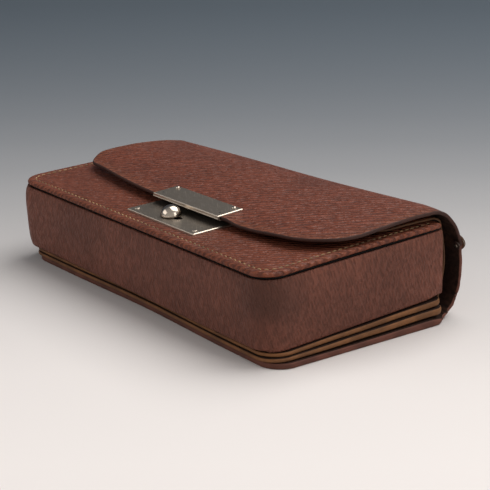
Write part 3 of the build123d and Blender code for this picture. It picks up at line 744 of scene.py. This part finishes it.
def edge_wear(points, shape, reach):
    """How rubbed each point of a closed sheet is: 1 at its cut edge, falling to 0 at reach mm."""
    m, n = shape
    round_edge = 2 * (m + n) - 4
    edge_points = points[2 * m * n : 2 * m * n + round_edge * EDGE_ROWS : 3]
    wear = np.zeros(len(points))
    batch = 4000
    for start in range(0, len(points), batch):
        part = points[start : start + batch]
        gap = np.sqrt(((part[:, None] - edge_points[None]) ** 2).sum(-1)).min(1)
        wear[start : start + batch] = np.clip(1 - gap / reach, 0, 1)
    return wear


def leather_sheet(name, middle, thickness, edge, keys, reach=0.0, worn=0.0, weld=False):
    """A closed leather piece with one material each for its top, its underside and its cut edge.

    It is rubbed within reach mm of its edge, or evenly by the share worn where no reach is given.
    """
    points, faces, kinds = closed_sheet(middle, thickness, edge)
    wear = edge_wear(points, middle.shape[:2], reach) if reach else np.full(len(points), worn)
    return make_piece(name, points, faces, [stock(key) for key in keys], kinds, {"wear": wear}, weld)


def setback(x, back):
    """How far a layer's front edge stands back: back mm, and 1.5 mm more towards the middle."""
    return back + 1.5 * np.exp(-((x / 38) ** 2))


def columns(count):
    """Places from -1 to 1 along the bag, closer together towards both ends: the sine of an even angle."""
    return np.sin(np.linspace(-math.pi / 2, math.pi / 2, count))[None]


class BAG_OT_cover(bpy.types.Operator):
    """The cover leather: back panel, spine and flap, in two lengths that meet under the hand strap."""

    bl_idname = "bag.cover"
    bl_label = "Cover Leather"

    def execute(self, context):
        sizes = context.scene.bag_sizes
        rng = np.random.default_rng(4)
        edge = sizes.edge_round
        span = columns(141)

        # Back panel and the spine's lower half: columns along the bag, rows along the leather
        line, at = smooth_line(BACK_LINE)
        flat = BACK_LINE[2][0] - BACK_LINE[0][0]
        share = spread(0, 1, step=0.012, near=(0.002, 0.006, 0.012))[:, None]
        front = corner_drop(span * BACK_HALF, BACK_HALF, BACK_CORNER) + setback(span * BACK_HALF, 1.2)
        s = (front + edge) * (1 - share) + at[-1] * share
        y, z = on_line(line, at, s)
        rising = ease(flat - 1, flat + 7, s)
        back_half = BACK_HALF - SIDE_TRIM
        half = back_half - edge - (back_half - FLAP_HALF) * rising
        # The edge is a little uneven on the spine: a random step in or out every 1.3 mm
        steps = rng.uniform(-0.45, 0.15, 116)
        jag = np.interp(s, np.arange(0, 150, 1.3), steps) * ease(flat, flat + 6, s)
        panel_shift = 1.5
        x = COVER_SHIFT + panel_shift * (1 - rising) + span * (half + jag)
        x, y, z = settle(x, y, z, sizes.flap_sag)
        thinner = BACK_THICKNESS - COVER_THICKNESS
        thick = BACK_THICKNESS - thinner * ease(flat - 6, flat + 4, s) + 0 * x
        swell = 0.6 * ease(-10, 38, y) * (1 - ease(flat - 2, flat + 4, s))
        middle = np.stack([x, y, z + swell / 2], -1)
        back = leather_sheet(
            "cover_back_leather", middle, thick + swell, edge, ("cover", "inside", "edge_brown"), reach=5.0)
        finish_piece(back, None, "cover_leather", "back_panel", "cover_spine")
        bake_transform(back)

        # The spine's upper half and the flap, whose front edge is an arc with its lowest point at the lock
        line, at = smooth_line(FLAP_LINE)
        flap_x = span * (FLAP_HALF - edge)
        away = COVER_SHIFT + flap_x - LOCK_X
        sweep = FLAP_SWEEP - np.sqrt(FLAP_SWEEP**2 - away**2)
        left_corner, right_corner = 10.0, 19.0
        corner = np.where(span < 0, left_corner, right_corner)
        end = at[-1] - sweep - corner_drop(flap_x, FLAP_HALF - edge, corner) - edge
        share = spread(0, 1, step=0.008, near=(0.001, 0.003, 0.006))[:, None]
        s = end * share
        y, z = on_line(line, at, s)
        x = COVER_SHIFT + flap_x + span * 0.1 * ripple(s, s, scale=7.0, seed=6)
        x, y, z = settle(x, y, z, sizes.flap_sag)
        wave = 0.2 * ripple(x, y, scale=24.0, seed=3)
        z = z + wave * ease(0, 20, s) * ease(0, 26, at[-1] - s - sweep)
        # Its dark underside and cut edge paint the shade in the gap over the front panel
        flap = leather_sheet(
            "cover_flap_leather", np.stack([x, y, z], -1), COVER_THICKNESS, edge,
            ("cover", "inside", "edge_ink"), reach=7.0)
        finish_piece(flap, None, "cover_leather", "flap")
        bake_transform(flap)
        return {"FINISHED"}


def rim_bow(x, y):
    """How far the front panel's right end bows up: a sine along it, growing with the sixth power of x."""
    along = np.sin(np.clip(y / BOX_WIDTH, 0, 1) * math.pi)
    return 0.35 * along * np.clip(x / (BOX_LENGTH / 2), 0, 1) ** 6


class BAG_OT_panel(bpy.types.Operator):
    """The front panel with its turned rim, the stitches in their groove and the piping under it."""

    bl_idname = "bag.panel"
    bl_label = "Front Panel"

    def execute(self, context):
        sizes = context.scene.bag_sizes
        half, front, mouth = BOX_LENGTH / 2, 0.0, BOX_WIDTH
        groove, inset = sizes.groove_depth, sizes.stitch_inset
        top, crest = PANEL_THICKNESS, PANEL_THICKNESS + 0.02
        mouth_corner = 2.0

        # Rings as (distance in, height): from under the rim, over it and down and up the stitches' groove
        rim = [
            (9.0, 0.0), (3.0, 0.0), (1.3, 0.02), (0.7, 0.14), (0.3, 0.42), (0.08, 0.8), (0.0, 1.15),
            (0.1, 1.5), (0.36, 1.85), (0.8, 2.08), (1.4, top), (inset - 1.0, top),
            (inset - 0.55, top - 0.3 * groove),
            (inset - 0.2, top - 0.9 * groove), (inset, top - groove), (inset + 0.2, top - 0.9 * groove),
            (inset + 0.6, top - 0.3 * groove), (inset + 1.1, top), (6.5, crest), (8.0, crest),
            (9.0, crest),
        ]
        rubbed = range(4, 18)
        rings = [
            (box_loop(half - d, front + d, mouth - d, BOX_CORNER - d, mouth_corner - d), z) for d, z in rim
        ]
        # Then across the top to the lock's window, down it and back under the panel
        first, last = rings[0][0], rings[-1][0]
        gap, window_corner = 0.1, 0.7
        depth = CASE_BACK - CASE_FRONT
        window = box_loop(CASE_HALF + gap, 0, depth + 2 * gap, window_corner, window_corner)
        window = window + [LOCK_X, LOCK_SETBACK + CASE_FRONT - gap]
        for t in np.linspace(0, 1, 34)[1:]:
            rings.append((last * (1 - t) + window * t, crest if t < 1 else top))
        rings.append((window, 0.0))
        for t in np.linspace(1, 0, 6)[1:-1]:
            rings.append((first * (1 - t) + window * t, 0.0))
        flat = np.stack([loop for loop, z in rings])
        x, y = flat[..., 0], flat[..., 1]
        z = np.stack([np.full(len(loop), z) for loop, z in rings])
        crown = np.where(z > top, 0.13 * ripple(x, y, scale=19.0, seed=8), 0)
        # The ground stays level round the lock plate
        level_half, level_back = 27, 38
        crown = np.where((np.abs(x - LOCK_X) < level_half) & (y < level_back), -0.02, crown)
        loops = slump(from_box(x, y, PANEL_BASE + z + crown + rim_bow(x, y)), sizes.case_sag)
        points, faces = loops_surface(np.concatenate([loops, loops[:1]]))
        keep = np.array([1.0 if k in rubbed else 0.25 for k in range(len(rings) + 1)])
        worn = np.repeat(keep, loops.shape[1]) * 0.45
        panel = make_piece("front_panel_leather", points, faces, [stock("panel")], None, {"wear": worn})
        finish_piece(panel, "case", "cover_leather", "front_panel")

        # Stitches: short capsules laid nose to tail along the groove, each slightly turned
        path = u_path(half - inset, front + inset, mouth - 1.0, BOX_CORNER - inset, step=0.4)
        run = np.concatenate([[0], np.cumsum(np.hypot(*np.diff(path[:, :2], axis=0).T))])
        count = int(run[-1] / sizes.stitch_pitch)
        middle = (np.arange(count) + 0.5) * sizes.stitch_pitch
        rng = np.random.default_rng(12)
        length = sizes.stitch_length * rng.uniform(0.88, 1.08, count)
        slope = rng.normal(0.16, 0.05, count)
        knots = np.linspace(-1, 1, 7)
        place = middle[:, None] + knots[None] * length[:, None] / 2
        x, y, out_x, out_y = (np.interp(place, run, path[:, k]) for k in range(4))
        slant = knots[None] * slope[:, None]
        x, y = x + out_x * slant, y + out_y * slant
        # Each stitch stands half out of the groove at its middle and dives in at its ends
        lie = PANEL_BASE + top - groove + sizes.thread_radius * (0.55 - 1.5 * np.abs(knots[None]) ** 3)
        centre = slump(from_box(x, y, lie + rim_bow(x, y)), sizes.case_sag)
        radius = sizes.thread_radius * np.sqrt(np.clip(1.04 - knots**2, 0.05, 1))
        points, faces = joined([loops_surface(tube(row, radius, around=8), True) for row in centre])
        thread = make_piece("panel_stitches", points, faces, [stock("thread")], weld=False)
        finish_piece(thread, "case", None)

        # Piping in the sunk seam between the rim and the walls; its near-black colour also paints the
        # seam's shade
        sunk, piping_radius = RIM_OVERHANG + 0.9, 0.4
        path = u_path(half - sunk, sunk, BOX_WIDTH - 0.8, BOX_CORNER - sunk, step=1.5)
        route = slump(from_box(path[:, 0], path[:, 1], (WALL_HEIGHT + PANEL_BASE) / 2), sizes.case_sag)
        points, faces = loops_surface(tube(route, piping_radius, around=10), True)
        piping = make_piece("seam_piping", points, faces, [stock("piping")])
        finish_piece(piping, "case", "black_welt", "seam_welt")
        return {"FINISHED"}


def tray(inset, base, top, foot, belly, lift, mouth_cut, sag):
    """Walls and floor of the compartment as one sheet, given by its middle surface.

    Rows run from the top edge down the wall, round the foot, a quarter circle, and across the floor to
    a line along the mouth; columns run along the outline. The wall bulges by belly times the root of 1
    less the fourth power of the way from its middle, less at the mouth and more at the left end. The
    foot is lifted off the pockets by lift, and the floor comes down to them behind it.
    """
    half = BOX_LENGTH / 2 - RIM_OVERHANG - inset
    front = RIM_OVERHANG + inset
    path = u_path(half, front, BOX_WIDTH - RIM_OVERHANG, BOX_CORNER - RIM_OVERHANG - inset)
    x, y, out_x, out_y = path.T
    on_end = np.abs(out_x) > 0.7
    mouth_loss, left_gain, foot_draw = 0.55, 0.7, 0.25
    rise = lift * np.where(on_end, 0.2 + 1.1 * ease(8, 70, y), 1.0) + mouth_cut * ease(78, 86, y)
    bulge = belly * (1 - mouth_loss * ease(62, 86, y)) * (1 + left_gain * ease(55, 84, -x))
    t = np.linspace(1, 0, 20)[:, None]
    low = base + foot + rise
    z = low + (top - low) * t
    h = z / WALL_HEIGHT
    out = bulge * np.sqrt(1 - np.minimum(1, np.abs(2 * h - 1)) ** 4) - foot_draw * bulge * (1 - h)
    turn = np.linspace(0, math.pi / 2, 9)[1:, None]
    out = np.concatenate([out, out[-1] - foot * (1 - np.cos(turn))])
    z = np.concatenate([z, low - foot * np.sin(turn)])
    floor_reach = 4.0
    fall = np.linspace(0, 1, 5)[1:, None]
    out = np.concatenate([out, out[-1] - floor_reach * fall])
    z = np.concatenate([z, z[-1] - (z[-1] - base) * ease(0, 1, fall)])
    grid = from_box(x + out_x * out, y + out_y * out, z)
    edge = grid[-1]
    share = np.linspace(0, 1, len(path))[:, None]
    goal = edge[0] * (1 - share) + edge[-1] * share
    floor = [edge * (1 - t) + goal * t for t in np.linspace(0, 1, 12)[1:]]
    return slump(np.concatenate([grid, floor]), sag)


class BAG_OT_compartment(bpy.types.Operator):
    """The compartment's leather walls with their turned-under floor, and the cloth lining inside."""

    bl_idname = "bag.compartment"
    bl_label = "Compartment"

    def execute(self, context):
        sizes = context.scene.bag_sizes
        half = WALL_THICKNESS / 2
        seam_depth = 0.45
        middle = tray(
            inset=half, base=half, top=WALL_HEIGHT - seam_depth, foot=FOOT_ROUND - half,
            belly=sizes.wall_belly, lift=0.6, mouth_cut=1.0, sag=sizes.case_sag)
        points, faces, _ = closed_sheet(middle, WALL_THICKNESS - 0.05, edge=0.3)
        # Hands have darkened the near corner under the rim, most within 3 mm of this place
        corner_x, corner_y, darkest = BOX_LENGTH / 2 - 4, BOX_FRONT + 4, 0.6
        near = np.hypot(points[:, 0] - corner_x, points[:, 1] - corner_y)
        soil = darkest * np.clip(1.2 - near / 15, 0, 1) * ease(12, 24, points[:, 2])
        wear = 0.3 * ease(30, 35, points[:, 2])
        wall = make_piece(
            "wall_leather_shell", points, faces, [stock("wall")], None, {"wear": wear, "soil": soil})
        finish_piece(wall, "case", "wall_leather", "body_shell")
        middle = tray(
            inset=WALL_THICKNESS + 0.5, base=2.0, top=27.0, foot=1.2, belly=0.0, lift=0.0, mouth_cut=0.0,
            sag=sizes.case_sag)
        points, faces, _ = closed_sheet(middle, 0.7, edge=0.2)
        cloth = make_piece("compartment_cloth", points, faces, [stock("lining")])
        finish_piece(cloth, "case", "dark_lining", "compartment_lining")
        dress("panel_board", "lining")
        return {"FINISHED"}


class BAG_OT_pockets(bpy.types.Operator):
    """The two tan-edged pocket leaves between the back panel and the compartment."""

    bl_idname = "bag.pockets"
    bl_label = "Pocket Leaves"

    def execute(self, context):
        edge = context.scene.bag_sizes.edge_round
        front, mouth, mouth_corner = -41.5, 44.8, 4.0
        span = columns(121)
        half = BACK_HALF - SIDE_TRIM - edge
        share = spread(0, 1, step=0.02, near=(0.004, 0.01))[:, None]
        # Each leaf's shift along the bag, setback, and underside and top at the front and at the mouth
        for name, node, shift, back, low, high, seed in (
            ("pocket_leather_lower", "pocket_leaf_lower", 2.5, 0.3, (2.3, 3.65), (3.9, 6.6), 21),
            ("pocket_leather_upper", "pocket_leaf_upper", 1.3, 1.1, (3.75, 5.2), (7.3, 9.75), 22),
        ):
            start = front + edge + corner_drop(span * half, half, BACK_CORNER) + setback(span * half, back)
            stop = mouth - edge - corner_drop(span * half, half, mouth_corner)
            y = start * (1 - share) + stop * share
            x = shift + span * (half + 0.25 * ripple(y, span, 9.0, seed) * span**8)
            t = np.clip((y - front) / (mouth - front), 0, 1)
            under, top = low[0] * (1 - t) + high[0] * t, low[1] * (1 - t) + high[1] * t
            middle = np.stack([x, y, (under + top) / 2 + 0.08 * ripple(x, y, 15.0, seed)], -1)
            leaf = leather_sheet(name, middle, top - under - 0.1, edge, ("inside", "inside", "edge"))
            finish_piece(leaf, "case", "tan_leather", node)
        return {"FINISHED"}


class BAG_OT_inner_flap(bpy.types.Operator):
    """The thin inner flap that closes the compartment's mouth and lies on the front panel."""

    bl_idname = "bag.inner_flap"
    bl_label = "Inner Flap"

    def execute(self, context):
        edge, thickness, front_corner = 0.35, 0.85, 8.0
        half = 81.0 - edge
        line, at = smooth_line(INNER_LINE)
        span = columns(101)
        end = at[-1] - edge - corner_drop(span * half, half, front_corner)
        share = spread(0, 1, step=0.014, near=(0.003, 0.008))[:, None]
        s = edge * (1 - share) + end * share
        y, z = on_line(line, at, s)
        x = COVER_SHIFT + span * half + 0 * y
        z = z + 0.12 * ripple(x, y, scale=17.0, seed=31) * np.clip(s / 30, 0, 1)
        middle = slump(np.stack([x, y, z], -1), 1.3 * context.scene.bag_sizes.case_sag)
        leaf = leather_sheet(
            "inner_flap_leather", middle, thickness, edge, ("cover", "inside", "edge_dark"), reach=3.0)
        finish_piece(leaf, "inner_cover", "cover_leather", "inner_flap")
        return {"FINISHED"}


class BAG_OT_strap(bpy.types.Operator):
    """The flat hand strap along the spine with a low stud at each end."""

    bl_idname = "bag.strap"
    bl_label = "Hand Strap"

    def execute(self, context):
        # The spine is an arc about this (Y, Z), and the strap lies on its outside at this angle
        centre, radius, turn = (10.9, 17.4), 44.9, math.radians(15.0)
        thick, width, half = 1.2, 6.6, 84.0
        across = np.linspace(-1, 1, 11)[:, None]
        span = columns(81)
        past = np.clip(np.abs(span * half) - (half - width / 2), 0, width / 2)
        reach = np.sqrt(np.maximum((width / 2) ** 2 - past**2, 0.01)) - 0.3
        angle = turn + across * reach / radius
        lie = radius + thick / 2 + 0.02
        x = COVER_SHIFT + span * half + 0 * angle
        y, z = centre[0] + lie * np.cos(angle), centre[1] + lie * np.sin(angle)
        middle = np.stack(settle(x, y, z, context.scene.bag_sizes.flap_sag), -1)
        strap = leather_sheet(
            "hand_strap_leather", middle, thick - 0.05, 0.3, ("cover", "cover", "edge_dark"), worn=0.5,
            weld=True)
        finish_piece(strap, "spine", "cover_leather", "hand_strap")

        # Studs, as (radius, height) from the strap's outer face: shank, flat brim and low dome
        up = np.array([0, math.cos(turn), math.sin(turn)])
        base = np.array([0, *centre]) + (radius + thick) * up
        head, shank, brim, rise = 1.7, 0.85, 0.1, 0.6
        dome = [(shank, -thick - 1.9), (shank, 0.0), (head, 0.0), (head + 0.02, brim)]
        turns = np.linspace(0, math.pi / 2, 9)[1:-1]
        dome += [(head * math.cos(a), brim + rise * math.sin(a)) for a in turns]
        dome += [(0.02, brim + rise)]
        low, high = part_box("strap_studs")
        points, faces = joined([
            loops_surface(round_profile(dome, base + [end, 0, 0], up, around=32), True)
            for end in (low.x / MM + head, high.x / MM - head)
        ])
        studs = make_piece("strap_stud_heads", points, faces, [stock("steel")], weld=False)
        finish_piece(studs, "spine", "bright_nickel", "strap_studs")
        dress("strap_burrs", "inside")
        return {"FINISHED"}


class BAG_OT_lock(bpy.types.Operator):
    """The lock and the hasp: plates, knob, rivets and the works inside."""

    bl_idname = "bag.lock"
    bl_label = "Lock and Hasp"

    def execute(self, context):
        for node, key in (
            ("lock_plate", "satin"), ("lock_case", "steel"), ("bolt", "steel"), ("bolt_spring", "steel"),
            ("lock_burrs", "steel"), ("hasp_backing", "steel"), ("hasp_staple", "steel"),
            ("hasp_pins", "bright"), ("hasp_plate", "satin"), ("hasp_rivets", "bright"),
            ("lock_rivets", "satin"),
        ):
            dress(node, key)
        # The knob, as (radius, height) from the plate's underside: foot, neck in the slot and dome
        up = np.array([0, -math.sin(LIE), math.cos(LIE)])
        plate_base = PANEL_BASE + PANEL_THICKNESS
        knob_left, knob_in = 2.1, 7.3
        base = from_box(LOCK_X - knob_left, LOCK_SETBACK + knob_in, plate_base)
        dome, stem, neck, foot_disc = 4.25, 1.1, 1.4, 1.7
        seat = LOCK_THICKNESS + 0.15
        brim = seat + 0.22
        profile = [
            (0.02, -1.8), (foot_disc, -1.8), (foot_disc, -1.2), (stem, -1.2), (stem, -0.1), (neck, -0.1),
            (neck, seat), (dome - 0.35, seat), (dome - 0.13, seat + 0.05), (dome, brim),
        ]
        turn = np.linspace(0, math.pi / 2, 22)[1:-1]
        profile += [(dome * math.cos(a), brim + (dome - 0.22) * math.sin(a)) for a in turn]
        profile += [(0.02, seat + dome)]
        points, faces = loops_surface(round_profile(profile, base, up, around=72), True)
        knob = make_piece("lock_knob_dome", points, faces, [stock("bright")])
        finish_piece(knob, "lock_slider", "bright_nickel", "knob")
        return {"FINISHED"}


class BAG_OT_stage(bpy.types.Operator):
    """The pale floor, the soft lights and the camera of the photograph."""

    bl_idname = "bag.stage"
    bl_label = "Studio"

    def execute(self, context):
        scene = context.scene
        bpy.ops.mesh.primitive_plane_add(size=6)
        floor = context.object
        floor.name = "studio_floor"
        material, tree, shader = new_material("studio_paper")
        place = add(tree, "TexCoord", out="Object")
        # Painted light falloff: the near colour's share is 1 over (1 plus the cube of the distance over the
        # paper's reach)
        depth = add(tree, "VectorMath", {0: place, 1: AWAY}, "Value", operation="DOT_PRODUCT")
        way = {"Value": depth, "From Min": PAPER_START, "From Max": PAPER_END}
        along = add(tree, "MapRange", way, 0)
        near, far = np.array(to_linear(PAPER_NEAR)), np.array(to_linear(PAPER_FAR))
        places = np.linspace(0, 1, 16)
        shares = 1 / (1 + (places * (PAPER_END - PAPER_START) / PAPER_REACH) ** 3)
        stops = tuple((at, rgba(far + (near - far) * share)) for at, share in zip(places, shares))
        shade = add(tree, "ValToRGB", {"Fac": along}, "Color", stops)
        wire(tree, shader, {"Base Color": shade, "Roughness": 0.9, "Specular IOR Level": 0.1})
        floor.data.materials.append(material)

        for name, size, power, place, aim, tint in LIGHTS:
            light = bpy.data.lights.new(name, "AREA")
            light.shape = "RECTANGLE"
            light.size, light.size_y = size
            light.energy = power
            light.color = tint
            lamp = bpy.data.objects.new(name, light)
            lamp.location = place
            lamp.rotation_mode = "QUATERNION"
            lamp.rotation_quaternion = (Vector(aim) - Vector(place)).to_track_quat("-Z", "Y")
            scene.collection.objects.link(lamp)

        # The room is dark far behind the bag and grey in front of it, which the plates mirror
        world = bpy.data.worlds.new("studio_air")
        world.use_nodes = True
        tree = world.node_tree
        tree.nodes.clear()
        toward = add(tree, "TexCoord", out="Generated")
        behind = add(tree, "VectorMath", {0: toward, 1: AWAY}, "Value", operation="DOT_PRODUCT")
        share = add(tree, "MapRange", {"Value": behind, "From Min": -1.0, "From Max": 1.0}, 0)
        room = ((0.0, "b9b6b2"), (0.5, "9a9a9c"), (0.85, "4a4f57"))
        stops = tuple((at, rgba(to_linear(code))) for at, code in room)
        air = add(tree, "ValToRGB", {"Fac": share}, "Color", stops)
        back = add(tree, "Background", {"Color": air, "Strength": 1.0}, 0)
        add(tree, "OutputWorld", {"Surface": back})
        scene.world = world
        scene.view_settings.view_transform = "Standard"
        scene.view_settings.look = "None"

        azimuth, elevation, distance = math.radians(52.61), math.radians(17.20), 0.63566
        aim = Vector((-0.03685, 0.04292, 0.0008))
        level = math.cos(elevation)
        back = Vector((math.sin(azimuth) * level, -math.cos(azimuth) * level, math.sin(elevation)))
        view = bpy.data.cameras.new("photo_view")
        view.sensor_width = 36.0
        focal_pixels, picture_pixels = 1400, 490
        view.lens = focal_pixels * view.sensor_width / picture_pixels
        view.clip_start = 0.01
        camera = bpy.data.objects.new("photo_view", view)
        camera.location = aim + back * distance
        camera.rotation_mode = "QUATERNION"
        camera.rotation_quaternion = (-back).to_track_quat("-Z", "Y")
        scene.collection.objects.link(camera)
        scene.camera = camera
        return {"FINISHED"}


class BAG_PT_panel(bpy.types.Panel):
    """Lists the bag's builders, sizes and colours in the sidebar."""

    bl_idname = "BAG_PT_panel"
    bl_label = "Leather Clutch"
    bl_space_type = "VIEW_3D"
    bl_region_type = "UI"
    bl_category = "Clutch"

    def draw(self, context):
        for operator in STEPS:
            self.layout.operator(operator.bl_idname)
        for group in (context.scene.bag_sizes, context.scene.bag_colours):
            for key in group.__annotations__:
                self.layout.prop(group, key)


STEPS = (
    BAG_OT_stage, BAG_OT_cover, BAG_OT_panel, BAG_OT_compartment, BAG_OT_pockets, BAG_OT_inner_flap,
    BAG_OT_strap, BAG_OT_lock,
)
CLASSES = (BagSizes, BagColours, *STEPS, BAG_PT_panel)


def register():
    """Registers the classes and hangs the settings on the scene."""
    for cls in CLASSES:
        bpy.utils.register_class(cls)
    bpy.types.Scene.bag_sizes = bpy.props.PointerProperty(type=BagSizes)
    bpy.types.Scene.bag_colours = bpy.props.PointerProperty(type=BagColours)


def unregister():
    """Takes the settings and the classes away again."""
    del bpy.types.Scene.bag_colours
    del bpy.types.Scene.bag_sizes
    for cls in reversed(CLASSES):
        bpy.utils.unregister_class(cls)


def main():
    """Builds the scene in order."""
    register()
    bpy.ops.bag.stage()
    bpy.ops.bag.cover()
    bpy.ops.bag.panel()
    bpy.ops.bag.compartment()
    bpy.ops.bag.pockets()
    bpy.ops.bag.inner_flap()
    bpy.ops.bag.strap()
    bpy.ops.bag.lock()


if __name__ == "__main__":
    main()
